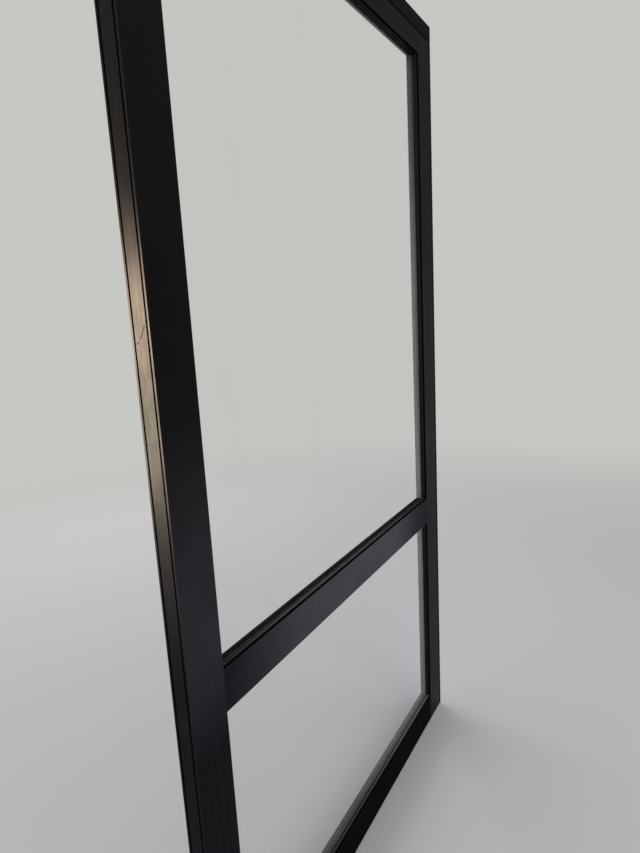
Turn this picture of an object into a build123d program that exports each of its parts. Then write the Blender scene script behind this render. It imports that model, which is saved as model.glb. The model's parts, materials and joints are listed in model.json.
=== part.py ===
from build123d import *
import os

# A glazed entrance door: an aluminium leaf that swings on a head pivot and a floor pivot,
# with the head and the slim jamb that stay on the building.
# Millimetres. X runs along the leaf from its free edge to its hanging edge, Y goes through
# its thickness, Z is up. The origin is below the middle of the door, at threshold level.

os.makedirs("parts", exist_ok=True)

# Leaf
leaf_width = 1372.0
leaf_height = 2464.0
leaf_thickness = 45.0
stile_width = 100.0
bottom_rail_height = 97.0
mid_rail_height = 94.0
mid_rail_top = 908.0
top_rail_height = 62.0
face_wall = 1.8
edge_wall = 1.8
arris_radius = 0.7

# Slots for weather pile along the leaf's edges
slot_inset = 4.5
slot_mouth = 4.0
slot_lip = 1.6
slot_chamber_width = 6.6
slot_chamber_depth = 2.4
slot_wall = 1.6

# Glazing pocket, and the hooked rib that holds a bead
pocket_depth = 14.0
pocket_floor = 2.0
hook_thickness = 1.4
hook_height = 4.0
hook_reach = 0.7
hook_lip = 0.8

# Glass, gaskets and beads
glass_thickness = 6.0
glass_lift = 4.0
gasket_thickness = 3.0
gasket_head = 3.4
gasket_foot_gap = 0.9
gasket_taper = 0.9
gasket_drop = 0.5
gasket_slope = 0.8
shadow_groove = 4.2
bead_stand = 4.3
bead_wall = 1.3
bead_lift = 0.2
bead_chamfer = 0.8
bead_line_width = 1.4
bead_line_depth = 0.7
bead_line_inset = 7.2
setting_block_length = 100.0
setting_block_width = 10.8
side_block_length = 60.0
trim_clearance = 0.3

# Weather pile
pile_base = 0.9
pile_side_clearance = 0.3
pile_hanging_reach = 2.4
pile_head_reach = 5.5
pile_foot_reach = 6.5
pile_foot_stop = 15.0

# Frame on the building
foot_gap = 8.0
head_gap = 6.0
jamb_gap = 5.0
head_height = 45.0
head_wall = 2.0
head_floor = 2.5
jamb_depth = 10.0
jamb_wall = 1.8
cap_thickness = 2.0
cap_plug = 12.0
cap_clearance = 0.2

# Fixing holes to the building
fixing_radius = 3.25
fixing_head_radius = 6.0
jamb_fixing_pitch = 700.0
jamb_fixing_count = 4
head_fixing_pitch = 400.0
head_fixing_count = 4
head_fixing_setback = 60.0
plate_fixing_pitch = 24.0

# Pivots
pivot_backset = 70.0
block_clearance = 0.2
block_recess = 4.0
plate_thickness = 6.0
plate_toe = 28.0
plate_side_inset = 0.5
spindle_radius = 8.0
spindle_height = 36.0
bush_wall = 2.0
thrust_disc_thickness = 3.0
bottom_block_height = 78.0
running_clearance = 0.05
pin_radius = 7.0
pin_reach = 14.0
pin_depth = 40.0
pin_chamfer = 1.0
top_block_height = 58.0
socket_length = 60.0
socket_height = 16.0
pin_hole_radius = 11.0

# Rail blocks, their bolts and nut plates, and the pivot blocks' screws
rail_block_reach = 60.0
rail_block_web = 8.0
rail_block_leg = 8.0
bolt_radius = 4.0
bolt_head_radius = 7.5
bolt_head_height = 5.3
bolt_grip = 5.5
bolt_passage = 9.0
nut_plate_thickness = 6.0
nut_plate_height = 40.0
nut_plate_side_gap = 2.7
screw_radius = 3.0
screw_clearance = 0.05
screw_head_radius = 5.8
screw_head_height = 2.8
edge_screw_length = 24.0

# Places that follow from the sizes
half = leaf_thickness / 2
overall_width = leaf_width + jamb_gap + jamb_depth
free_edge = -overall_width / 2
hanging_edge = free_edge + leaf_width
wall_face = overall_width / 2
jamb_face = wall_face - jamb_depth
rail_start = free_edge + stile_width
rail_end = hanging_edge - stile_width
rail_length = rail_end - rail_start
leaf_foot = foot_gap
leaf_top = leaf_foot + leaf_height
head_foot = leaf_top + head_gap
pivot_x = hanging_edge - pivot_backset
cavity_half = half - face_wall
slot_centre = half - slot_inset - slot_mouth / 2
slot_floor = slot_lip + slot_chamber_depth
pod_depth = slot_floor + slot_wall
pod_edge = slot_centre - slot_chamber_width / 2 - slot_wall
floor_depth = pocket_depth + pocket_floor
bead_outer = cavity_half - shadow_groove
bead_inner = glass_thickness / 2 + gasket_thickness
bead_brim = shadow_groove - trim_clearance
glass_cover = pocket_depth - glass_lift
bottom_rail_top = leaf_foot + bottom_rail_height
mid_rail_foot = leaf_foot + mid_rail_top - mid_rail_height
mid_rail_crown = leaf_foot + mid_rail_top
top_rail_foot = leaf_top - top_rail_height
pane_edges = {"lower": (bottom_rail_top, mid_rail_foot), "upper": (mid_rail_crown, top_rail_foot)}
pane_sides = {"front": -1, "back": 1}
crown_stand = {"front": bead_stand, "back": 0.0}
crown_brim = {"front": 0.0, "back": bead_brim}


def outline(*points):
    """A flat face inside a closed line of points."""
    return make_face(Polyline(*points, close=True))


def both_sides(face):
    """The face and its mirror image across the middle of the thickness."""
    return face + mirror(face, about=Plane.XZ)


def upright(face, x, foot, length, turn=0):
    """A section run up along Z. turn=180 faces it the other way along X."""
    return Pos(x, 0, foot) * Rot(0, 0, turn) * extrude(face, length, dir=(0, 0, 1))


def level(face, x, z, length, rise=1):
    """A section run along X, with its own X pointing up (rise=1) or down (rise=-1)."""
    plane = Plane(origin=(x, 0, z), x_dir=(0, 0, rise), z_dir=(1, 0, 0))
    return plane.location * extrude(face, length, dir=(0, 0, 1))


def rod(start, along, radius, length):
    """A cylinder from a point, in a direction."""
    plane = Plane(origin=start, z_dir=along)
    return plane.location * Cylinder(radius, length, align=(Align.CENTER, Align.CENTER, Align.MIN))


def block(x_range, y_range, z_range):
    """A box between three pairs of coordinates."""
    low = [min(pair) for pair in (x_range, y_range, z_range)]
    size = [abs(pair[1] - pair[0]) for pair in (x_range, y_range, z_range)]
    return Pos(*low) * Box(*size, align=(Align.MIN, Align.MIN, Align.MIN))


def flat_screw(start, along, radius, length, head_radius, head_height, clearance=0.0):
    """A countersunk screw whose flat head starts at a point, or its hole with a clearance."""
    plane = Plane(origin=start, z_dir=along)
    grown = head_radius + clearance
    head = Cone(grown, radius + clearance, head_height, align=(Align.CENTER, Align.CENTER, Align.MIN))
    return plane.location * head + rod(start, along, radius + clearance, length)


def pile_slots():
    """The two undercut slots of a plain edge at x=0."""
    mouth = Pos(0, slot_centre) * Rectangle(2 * slot_lip, slot_mouth)
    middle = slot_lip + slot_chamber_depth / 2
    chamber = Pos(middle, slot_centre) * Rectangle(slot_chamber_depth, slot_chamber_width)
    return both_sides(mouth + chamber)


def bead_hooks(floor, rise):
    """The two hooked ribs on a pocket floor. rise is the way out of the pocket, 1 or -1."""
    inner = bead_outer + trim_clearance
    outer = inner + hook_thickness
    nib = inner - hook_reach
    top = floor + rise * hook_height
    under = floor + rise * (hook_height - hook_lip)
    root = floor - rise * pocket_floor / 2
    return both_sides(
        outline((root, inner), (root, outer), (top, outer), (top, nib), (under, nib), (under, inner))
    )


def member_section(width, first_edge="slots"):
    """An extruded member from x=0 to x=width: slots or a pocket at x=0, a pocket at x=width."""
    body = Pos(width / 2, 0) * Rectangle(width, leaf_thickness)
    body = fillet(body.vertices(), arris_radius)
    inner_end = width - floor_depth
    if first_edge == "slots":
        cavity = outline(
            (pod_depth, -cavity_half),
            (pod_depth, -pod_edge),
            (edge_wall, -pod_edge),
            (edge_wall, pod_edge),
            (pod_depth, pod_edge),
            (pod_depth, cavity_half),
            (inner_end, cavity_half),
            (inner_end, -cavity_half),
        )
    else:
        cavity = Pos((floor_depth + inner_end) / 2, 0) * Rectangle(inner_end - floor_depth, 2 * cavity_half)
    body -= cavity
    pocket = Rectangle(2 * pocket_depth, 2 * cavity_half)
    body -= Pos(width, 0) * pocket
    body += bead_hooks(width - pocket_depth, 1)
    if first_edge == "slots":
        body -= pile_slots()
    else:
        body -= pocket
        body += bead_hooks(pocket_depth, -1)
    return body


def bead_section(stand, brim):
    """A snap-in bead on the positive side. x is the height above the pocket floor.

    Its crown stands above the bar's edge, or lies flush and has a brim out to the face wall.
    """
    top = pocket_depth + stand
    leg_out = bead_outer - bead_wall
    leg_in = bead_inner + bead_wall
    under = top - bead_wall
    notch = bead_outer - hook_reach
    notch_foot = hook_height - hook_lip - trim_clearance
    notch_top = hook_height + trim_clearance
    shape = outline(
        (bead_lift, bead_inner),
        (top, bead_inner),
        (top, bead_outer),
        (notch_top, bead_outer),
        (notch_top, notch),
        (notch_foot, notch),
        (notch_foot, bead_outer),
        (bead_lift, bead_outer),
        (bead_lift, leg_out - bead_wall),
        (bead_lift + bead_wall, leg_out - bead_wall),
        (bead_lift + bead_wall, leg_out),
        (under, leg_out),
        (under, leg_in),
        (bead_lift, leg_in),
    )
    if brim:
        shape += Pos(top - bead_wall / 2, bead_outer + brim / 2) * Rectangle(bead_wall, brim)
    crown = shape.vertices().sort_by(Axis.X)[-2:].sort_by(Axis.Y)[-1]
    shape = chamfer(crown, bead_chamfer)
    line = bead_outer - bead_line_inset
    half_line = bead_line_width / 2
    return shape - outline(
        (top + bead_line_depth, line - 2 * half_line),
        (top + bead_line_depth, line + 2 * half_line),
        (top - bead_line_depth, line),
    )


def gasket_section(stand):
    """A wedge gasket between the glass and the bead, on the positive side."""
    glass = glass_thickness / 2
    top = pocket_depth + stand - gasket_drop
    foot = glass_lift + gasket_foot_gap
    return outline(
        (top, bead_inner),
        (top - gasket_slope, glass),
        (top - gasket_head, glass),
        (top - gasket_head - gasket_taper, glass + gasket_taper),
        (foot, glass + 2 * gasket_taper),
        (foot, bead_inner),
    )


def pile_section(reach):
    """A weather pile in the positive slot: its backing, and its hair out to x=-reach."""
    backing = Pos(slot_lip + pile_base / 2, slot_centre) * Rectangle(
        pile_base, slot_chamber_width - 2 * pile_side_clearance
    )
    hair_length = slot_lip + pile_base + reach
    hair = Pos(slot_lip + pile_base - hair_length / 2, slot_centre) * Rectangle(
        hair_length, slot_mouth - 2 * pile_side_clearance
    )
    return backing + hair


def rail_ends():
    """Each end of a rail: the stile's inner edge there and the way into the rail along X."""
    return ((rail_start, 1), (rail_end, -1))


def rail_cavities():
    """The foot and top of the cavity inside each rail."""
    return {
        "bottom": (leaf_foot + pod_depth, bottom_rail_top - floor_depth),
        "mid": (mid_rail_foot + floor_depth, mid_rail_crown - floor_depth),
        "top": (top_rail_foot + floor_depth, leaf_top - pod_depth),
    }


def bolt_shanks(edge, way, clearance=0.0):
    """The bolts' shanks at one stile, from the webs of the rail blocks through the pocket floor."""
    web = edge + way * rail_block_web
    length = rail_block_web + floor_depth + bolt_grip
    return [
        rod((web, 0, (foot + top) / 2), (-way, 0, 0), bolt_radius + clearance, length)
        for foot, top in rail_cavities().values()
    ]


def rail_bolts():
    """The hexagon bolts that hold the rail blocks to both stiles."""
    made = []
    hexagon = extrude(RegularPolygon(bolt_head_radius, 6), bolt_head_height)
    for edge, way in rail_ends():
        web = edge + way * rail_block_web
        for shank, (foot, top) in zip(bolt_shanks(edge, way), rail_cavities().values()):
            seat = Plane(origin=(web, 0, (foot + top) / 2), z_dir=(way, 0, 0))
            made.append(shank + seat.location * hexagon)
    return made


def pivot_blocks_z():
    """Foot and top of the bottom and the top pivot block."""
    foot = leaf_foot + block_recess
    crown = leaf_top - block_recess
    return ((foot, foot + bottom_block_height), (crown - top_block_height, crown))


def edge_screws(clearance=0.0):
    """The screws from the hanging edge into the two pivot blocks, or their holes."""
    return [
        flat_screw(
            (hanging_edge, 0, (foot + top) / 2),
            (-1, 0, 0),
            screw_radius,
            edge_screw_length,
            screw_head_radius,
            screw_head_height,
            clearance,
        )
        for foot, top in pivot_blocks_z()
    ]


def cut_all(body, tools):
    """The body without each of the tools."""
    for tool in tools:
        body -= tool
    return body


def free_stile():
    stile = upright(member_section(stile_width), free_edge, leaf_foot, leaf_height)
    return cut_all(stile, bolt_shanks(rail_start, 1, screw_clearance))


def hanging_stile():
    stile = upright(member_section(stile_width), hanging_edge, leaf_foot, leaf_height, 180)
    return cut_all(stile, bolt_shanks(rail_end, -1, screw_clearance) + edge_screws(screw_clearance))


def rails():
    """The three rails, cut square between the stiles."""
    mid_section = member_section(mid_rail_height, "pocket")
    return {
        "bottom_rail": level(member_section(bottom_rail_height), rail_start, leaf_foot, rail_length),
        "mid_rail": level(mid_section, rail_start, mid_rail_foot, rail_length),
        "top_rail": level(member_section(top_rail_height), rail_start, leaf_top, rail_length, -1),
    }


def rail_block(edge, way, foot, top):
    """A block with two legs in a rail's end and a neck that fills the stile's pocket."""
    wide = cavity_half - block_clearance
    leg = wide - rail_block_leg
    neck = bead_outer + trim_clearance - hook_reach - block_clearance
    web = edge + way * rail_block_web
    end = edge + way * rail_block_reach
    floor = edge - way * pocket_depth
    height = (foot + block_clearance, top - block_clearance)
    body = block((edge, end), (-wide, wide), height) + block((floor, edge), (-neck, neck), height)
    body -= block((web, end), (-leg, leg), height)
    half_passage = bolt_passage / 2
    middle = (foot + top) / 2
    return body - block(
        (floor, web), (-half_passage, half_passage), (middle - half_passage, middle + half_passage)
    )


def rail_blocks():
    """Two blocks for each rail."""
    return {
        rail + "_rail_blocks": [rail_block(edge, way, foot, top) for edge, way in rail_ends()]
        for rail, (foot, top) in rail_cavities().items()
    }


def nut_plates():
    """Plates behind the pocket floors, where no pivot block takes the bolt."""
    made = []
    wide = cavity_half - nut_plate_side_gap
    tall = nut_plate_height / 2
    for edge, way in rail_ends():
        face = edge - way * floor_depth
        for rail, (foot, top) in rail_cavities().items():
            if way > 0 or rail == "mid":
                middle = (foot + top) / 2
                deep = (face - way * nut_plate_thickness, face)
                plate = block(deep, (-wide, wide), (middle - tall, middle + tall))
                made.append(cut_all(plate, bolt_shanks(edge, way, screw_clearance)))
    return made


def pivot_block(foot, top):
    """A block that fills the hanging stile's cavity, with a nose between the slots."""
    wide = cavity_half - block_clearance
    deep = hanging_edge - pod_depth - block_clearance
    nose = pod_edge - block_clearance
    body = block((rail_end + floor_depth, deep), (-wide, wide), (foot, top))
    body += block((deep, hanging_edge - edge_wall), (-nose, nose), (foot, top))
    return cut_all(body, edge_screws(screw_clearance) + bolt_shanks(rail_end, -1, screw_clearance))


def spindle_top():
    return plate_thickness + spindle_height


def bottom_pivot_block():
    foot, top = pivot_blocks_z()[0]
    bore = spindle_top() + thrust_disc_thickness - foot
    radius = spindle_radius + running_clearance + bush_wall
    return pivot_block(foot, top) - rod((pivot_x, 0, foot), (0, 0, 1), radius, bore)


def bottom_bush():
    foot = pivot_blocks_z()[0][0]
    length = spindle_top() - foot
    inner = spindle_radius + running_clearance
    return rod((pivot_x, 0, foot), (0, 0, 1), inner + bush_wall, length) - rod(
        (pivot_x, 0, foot), (0, 0, 1), inner, length
    )


def thrust_disc():
    radius = spindle_radius + running_clearance + bush_wall
    return rod((pivot_x, 0, spindle_top()), (0, 0, 1), radius, thrust_disc_thickness)


def top_pivot_block():
    foot, top = pivot_blocks_z()[1]
    hole = rod((pivot_x, 0, top - pin_depth), (0, 0, 1), pin_radius + running_clearance, pin_depth)
    return pivot_block(foot, top) - hole


def top_pivot_pin():
    """The head pin, with a chamfered end."""
    foot = leaf_top - block_recess - pin_depth
    length = head_foot + head_floor + pin_reach - foot
    pin = rod((pivot_x, 0, foot), (0, 0, 1), pin_radius, length)
    return chamfer(pin.edges().sort_by(Axis.Z)[-1], pin_chamfer)


def floor_pivot_plate():
    """The plate on the threshold that carries the spindle and the foot of the jamb."""
    wide = half - plate_side_inset
    start = pivot_x - plate_toe
    body = block((start, wall_face), (-wide, wide), (0, plate_thickness))
    body -= rod((pivot_x, 0, 0), (0, 0, 1), spindle_radius, plate_thickness)
    for x, y in plate_fixings():
        body -= flat_screw(
            (x, y, plate_thickness),
            (0, 0, -1),
            fixing_radius,
            plate_thickness,
            fixing_head_radius,
            fixing_head_radius - fixing_radius,
        )
    return body


def plate_fixings():
    """X and Y of the two holes that fix the floor plate down, between the spindle and the jamb."""
    middle = (pivot_x + spindle_radius + jamb_face) / 2
    return [(middle, side * plate_fixing_pitch / 2) for side in (-1, 1)]


def floor_spindle():
    """The spindle that carries the leaf, set in the floor plate."""
    return rod((pivot_x, 0, 0), (0, 0, 1), spindle_radius, spindle_top())


def wall_jamb():
    """The slim hollow jamb, from the floor plate to the head."""
    body = fillet(Rectangle(jamb_depth, leaf_thickness).vertices(), arris_radius)
    body -= Rectangle(jamb_depth - 2 * jamb_wall, leaf_thickness - 2 * jamb_wall)
    x = (jamb_face + wall_face) / 2
    jamb = upright(body, x, plate_thickness, head_foot - plate_thickness)
    first = (plate_thickness + head_foot) / 2 - jamb_fixing_pitch * (jamb_fixing_count - 1) / 2
    for i in range(jamb_fixing_count):
        z = first + i * jamb_fixing_pitch
        jamb -= rod((jamb_face, 0, z), (1, 0, 0), fixing_radius, jamb_depth)
        jamb -= rod((jamb_face, 0, z), (1, 0, 0), fixing_head_radius, jamb_wall)
    return jamb


def head_cavity():
    tall = head_height - head_wall - head_floor
    return Pos(head_floor + tall / 2, 0) * Rectangle(tall, leaf_thickness - 2 * head_wall)


def head():
    """The hollow head, over the leaf and the jamb."""
    body = Pos(head_height / 2, 0) * Rectangle(head_height, leaf_thickness)
    body = fillet(body.vertices(), arris_radius)
    body -= head_cavity()
    made = level(body, free_edge + cap_thickness, head_foot, overall_width - cap_thickness)
    made -= rod((pivot_x, 0, head_foot), (0, 0, 1), pin_hole_radius, head_floor)
    first = -head_fixing_setback - head_fixing_pitch * (head_fixing_count - 1) / 2
    for i in range(head_fixing_count):
        x = first + i * head_fixing_pitch
        made -= rod((x, 0, head_foot), (0, 0, 1), fixing_head_radius, head_floor)
        made -= rod((x, 0, head_foot), (0, 0, 1), fixing_radius, head_height)
    return made


def head_end_cap():
    """A plain cap that closes the head's free end."""
    plate = Pos(head_height / 2, 0) * Rectangle(head_height, leaf_thickness)
    plate = fillet(plate.vertices(), arris_radius)
    cap = level(plate, free_edge, head_foot, cap_thickness)
    tall = head_height - head_wall - head_floor - 2 * cap_clearance
    plug = Pos(head_floor + cap_clearance + tall / 2, 0) * Rectangle(
        tall, leaf_thickness - 2 * head_wall - 2 * cap_clearance
    )
    plug -= offset(plug, -cap_thickness)
    return cap + level(plug, free_edge + cap_thickness, head_foot, cap_plug)


def pivot_socket():
    """The block in the head that holds the bush for the leaf's top pin."""
    foot = head_foot + head_floor
    wide = half - head_wall - block_clearance
    reach = socket_length / 2
    body = block((pivot_x - reach, pivot_x + reach), (-wide, wide), (foot, foot + socket_height))
    return body - rod(
        (pivot_x, 0, foot), (0, 0, 1), pin_radius + running_clearance + bush_wall, socket_height
    )


def socket_bush():
    foot = head_foot + head_floor
    inner = pin_radius + running_clearance
    return rod((pivot_x, 0, foot), (0, 0, 1), inner + bush_wall, socket_height) - rod(
        (pivot_x, 0, foot), (0, 0, 1), inner, socket_height
    )


def glass_pane(foot, top):
    return block(
        (rail_start - glass_cover, rail_end + glass_cover),
        (-glass_thickness / 2, glass_thickness / 2),
        (foot - glass_cover, top + glass_cover),
    )


def pane_runs(section, foot, top, overlap):
    """A pane's four lengths of a section: top, bottom, and the two sides between the rails.

    The section's x starts at the pocket floor. The sides run past the rails' edges by overlap.
    """
    short = rail_length - 2 * trim_clearance
    tall = top - foot + 2 * overlap
    return {
        "top": level(section, rail_start + trim_clearance, top + pocket_depth, short, -1),
        "bottom": level(section, rail_start + trim_clearance, foot - pocket_depth, short),
        "free_side": upright(section, rail_start - pocket_depth, foot - overlap, tall),
        "hanging_side": upright(section, rail_end + pocket_depth, foot - overlap, tall, 180),
    }


def to_face(side):
    """For each length, the mirror that brings its section to one face of the door."""
    return {"top": side > 0, "bottom": side < 0, "free_side": side > 0, "hanging_side": side < 0}


def pane_trim(section, foot, top, overlap, side):
    """The four lengths of a section on one face of a pane."""
    made = {}
    for place, length in pane_runs(section, foot, top, overlap).items():
        made[place] = length if to_face(side)[place] else mirror(length, about=Plane.XZ)
    return made


def coped(bead, edge, way, foot, top, stand):
    """A side bead whose standing crown is notched at both ends, round the level beads."""
    reach = stand + trim_clearance
    deep = (edge, edge + way * reach)
    ends = ((foot - pocket_depth, foot + reach), (top - reach, top + pocket_depth))
    return cut_all(bead, [block(deep, (-half, half), end) for end in ends])


def pane_beads(foot, top, face):
    """The four beads on one face of a pane, each by its place."""
    stand = crown_stand[face]
    section = bead_section(stand, crown_brim[face])
    beads = pane_trim(section, foot, top, pocket_depth - bead_lift, pane_sides[face])
    if stand:
        beads["free_side"] = coped(beads["free_side"], rail_start, 1, foot, top, stand)
        beads["hanging_side"] = coped(beads["hanging_side"], rail_end, -1, foot, top, stand)
    return beads


def pane_gaskets(foot, top, face):
    """The four gaskets on one face of a pane. The upright ones stop at the level ones' tops."""
    stand = crown_stand[face]
    return list(pane_trim(gasket_section(stand), foot, top, -stand, pane_sides[face]).values())


def setting_blocks(foot):
    """Two blocks below a pane, at its quarter points."""
    quarter = (rail_length + 2 * glass_cover) / 4
    middle = (rail_start + rail_end) / 2
    reach = setting_block_length / 2
    wide = setting_block_width / 2
    floor = foot - pocket_depth
    return [
        block((x - reach, x + reach), (-wide, wide), (floor, floor + glass_lift))
        for x in (middle - quarter, middle + quarter)
    ]


def side_blocks(foot, top):
    """Blocks beside a pane at the hanging foot and the free top, which keep the leaf square."""
    wide = setting_block_width / 2
    free = rail_start - pocket_depth
    hanging = rail_end + pocket_depth
    return [
        block((hanging - glass_lift, hanging), (-wide, wide), (foot, foot + side_block_length)),
        block((free, free + glass_lift), (-wide, wide), (top - side_block_length, top)),
    ]


def weather_piles():
    """Pile along the hanging edge, above the top rail and below the bottom rail."""
    hanging = upright(pile_section(pile_hanging_reach), hanging_edge, leaf_foot, leaf_height, 180)
    above = level(pile_section(pile_head_reach), rail_start, leaf_top, rail_length, -1)
    below = level(pile_section(pile_foot_reach), rail_start, leaf_foot, rail_length - pile_foot_stop)
    pairs = {"hanging_edge_piles": hanging, "head_piles": above, "foot_piles": below}
    return {name: [one, mirror(one, about=Plane.XZ)] for name, one in pairs.items()}


def all_parts():
    """Every node's name with its solid or its list of solids."""
    parts = {
        "head": head(),
        "head_end_cap": head_end_cap(),
        "wall_jamb": wall_jamb(),
        "floor_pivot_plate": floor_pivot_plate(),
        "floor_spindle": floor_spindle(),
        "pivot_socket": pivot_socket(),
        "socket_bush": socket_bush(),
        "free_stile": free_stile(),
        "hanging_stile": hanging_stile(),
        "nut_plates": nut_plates(),
        "rail_bolts": rail_bolts(),
        "pivot_block_screws": edge_screws(),
        "bottom_pivot_block": bottom_pivot_block(),
        "bottom_bush": bottom_bush(),
        "thrust_disc": thrust_disc(),
        "top_pivot_block": top_pivot_block(),
        "top_pivot_pin": top_pivot_pin(),
    }
    parts.update(rails())
    parts.update(rail_blocks())
    parts.update(weather_piles())
    for pane, (foot, top) in pane_edges.items():
        parts[pane + "_glass"] = glass_pane(foot, top)
        parts[pane + "_setting_blocks"] = setting_blocks(foot)
        parts[pane + "_side_blocks"] = side_blocks(foot, top)
        for face in pane_sides:
            for place, bead in pane_beads(foot, top, face).items():
                parts[f"{pane}_{face}_bead_{place}"] = bead
            parts[f"{pane}_{face}_gaskets"] = pane_gaskets(foot, top, face)
    return parts


for name, shape in all_parts().items():
    solid = Compound(children=shape) if isinstance(shape, list) else shape
    export_step(solid, f"parts/{name}.step")
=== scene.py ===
# %% [markdown]
# # A glazed entrance door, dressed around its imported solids
# The door is a black coated aluminium leaf with two panes, hung on a head pivot and a floor
# pivot. Its solids come from the CAD model and stay as they are. This lesson gives them their
# finishes, makes the few soft or small pieces that solids can't show well, and lights them.
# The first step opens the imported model. Nothing else is read from disk.

import json
import math

import bpy
import numpy as np
from mathutils import Matrix, Vector


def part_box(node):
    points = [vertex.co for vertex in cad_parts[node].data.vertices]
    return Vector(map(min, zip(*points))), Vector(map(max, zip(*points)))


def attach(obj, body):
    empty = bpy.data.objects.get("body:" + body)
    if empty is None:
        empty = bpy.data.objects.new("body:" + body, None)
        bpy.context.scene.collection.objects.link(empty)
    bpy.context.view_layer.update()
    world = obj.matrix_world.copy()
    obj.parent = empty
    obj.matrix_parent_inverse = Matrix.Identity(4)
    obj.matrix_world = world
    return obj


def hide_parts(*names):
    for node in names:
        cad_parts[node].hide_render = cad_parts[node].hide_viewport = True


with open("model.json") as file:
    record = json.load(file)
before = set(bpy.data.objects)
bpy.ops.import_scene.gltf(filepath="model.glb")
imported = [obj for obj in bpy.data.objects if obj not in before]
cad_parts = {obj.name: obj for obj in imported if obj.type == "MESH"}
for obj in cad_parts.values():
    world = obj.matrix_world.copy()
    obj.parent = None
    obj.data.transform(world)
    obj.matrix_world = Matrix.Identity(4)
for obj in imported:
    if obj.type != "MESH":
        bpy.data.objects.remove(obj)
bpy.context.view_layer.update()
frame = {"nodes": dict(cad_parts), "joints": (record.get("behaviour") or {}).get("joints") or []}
nodes = frame["nodes"]

# %% [markdown]
# ## The camera
# A photograph is matched by a camera in the same place, turned the same way, with the same
# angle of view. The straight edges of the leaf give all three. A camera looks along its own
# minus Z, so the three columns of its rotation are right, up and the reverse of forward.

# %% Stand the camera
IMAGE_HEIGHT = 853
FOCAL_PIXELS = 589.9
SENSOR_MM = 36.0
eye = Vector((-1.4029, -0.7565, 1.6074))
turn_about_z, turn_about_x, turn_about_y = -1.0361, -0.1895, 0.0540
turned = (
    Matrix.Rotation(turn_about_z, 3, "Z")
    @ Matrix.Rotation(turn_about_x, 3, "X")
    @ Matrix.Rotation(turn_about_y, 3, "Y")
)
right, forward, up = turned.col[0], turned.col[1], turned.col[2]

camera_data = bpy.data.cameras.new("door_camera")
camera_data.sensor_width = SENSOR_MM
camera_data.lens = FOCAL_PIXELS / IMAGE_HEIGHT * SENSOR_MM
camera_data.clip_start = 0.05
camera = bpy.data.objects.new("door_camera", camera_data)
bpy.context.scene.collection.objects.link(camera)
camera.matrix_world = Matrix.Translation(eye) @ Matrix((right, up, -forward)).transposed().to_4x4()
bpy.context.scene.camera = camera
bpy.context.scene.view_settings.view_transform = "Standard"
print("lens", round(camera_data.lens, 2), "mm, looking along", [round(v, 3) for v in forward])

# %% [markdown]
# ## Small helpers for shader nodes
# A finish is a network of nodes. A few short helpers keep the lessons that follow readable:
# they place a node and join its inputs, do arithmetic, turn a slow ramp into a soft step, and
# lay one colour over another. A value can be a number or another node's output.

# %% Helpers: nodes and groups
def feed(tree, node, feeds):
    """Joins a node's inputs to other nodes' outputs, or sets them to plain values."""
    for key, value in feeds.items():
        socket = node.inputs[key]
        if isinstance(value, bpy.types.NodeSocket):
            tree.links.new(value, socket)
        else:
            socket.default_value = value


def place(tree, kind, feeds=None, **settings):
    """Adds a shader node: settings are its own properties, feeds its inputs by name or number."""
    node = tree.nodes.new("ShaderNode" + kind)
    for name, value in settings.items():
        setattr(node, name, value)
    feed(tree, node, feeds or {})
    return node


def new_group(name, inputs, outputs):
    """An empty shader node group: its tree, what it is given, and the node that ends it.
    Inputs go by name and kind, and every output is a plain value."""
    tree = bpy.data.node_groups.new(name, "ShaderNodeTree")
    for socket, kind in inputs.items():
        tree.interface.new_socket(socket, in_out="INPUT", socket_type="NodeSocket" + kind)
    for socket in outputs:
        tree.interface.new_socket(socket, in_out="OUTPUT", socket_type="NodeSocketFloat")
    given = tree.nodes.new("NodeGroupInput").outputs
    return tree, given, tree.nodes.new("NodeGroupOutput")


def use(tree, group, feeds):
    """Places a group in a material with its own values, and gives the group's outputs."""
    return place(tree, "Group", feeds, node_tree=group).outputs


def opened(material):
    """What a finish works with: the material's nodes, its Principled surface, and the place
    and the facing of the point that is shaded."""
    tree = material.node_tree
    coordinates = next(n for n in tree.nodes if n.bl_idname == "ShaderNodeTexCoord").outputs
    return tree, tree.nodes["Principled BSDF"], coordinates["Object"], coordinates["Normal"]


def new_material(name, colour):
    """A material with an empty Principled surface, and the coordinates that it is made in."""
    material = bpy.data.materials.new(name)
    material.use_nodes = True
    material.diffuse_color = (*colour, 1.0)
    material.node_tree.nodes.new("ShaderNodeTexCoord")
    return material, *opened(material)


# %% Helpers: arithmetic, steps, colours and noise
def sums(tree, operation, first, second=0.0, clamp=False):
    """One arithmetic step on two values."""
    node = place(tree, "Math", {0: first, 1: second}, operation=operation, use_clamp=clamp)
    return node.outputs[0]


def product(tree, *factors):
    """All factors times one another, from left to right."""
    result = factors[0]
    for factor in factors[1:]:
        result = sums(tree, "MULTIPLY", result, factor)
    return result


def vectors(tree, operation, first, second=(0.0, 0.0, 0.0)):
    """One arithmetic step on two vectors, such as a product or a length."""
    node = place(tree, "VectorMath", {0: first, 1: second}, operation=operation)
    return node.outputs["Value"] if operation in ("LENGTH", "DOT_PRODUCT") else node.outputs[0]


def parts(tree, vector):
    """The X, the Y and the Z of a vector."""
    return place(tree, "SeparateXYZ", {0: vector}).outputs


def soft_step(tree, value, low, high, out_low=0.0, out_high=1.0):
    """Goes smoothly from out_low at low to out_high at high, and stays level outside."""
    feeds = {"Value": value, "From Min": low, "From Max": high, "To Min": out_low, "To Max": out_high}
    return place(tree, "MapRange", feeds, interpolation_type="SMOOTHSTEP").outputs["Result"]


def steps(tree, *ramps):
    """The product of soft steps: each ramp is a value and the numbers of its step."""
    return product(tree, *(soft_step(tree, *ramp) for ramp in ramps))


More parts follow.
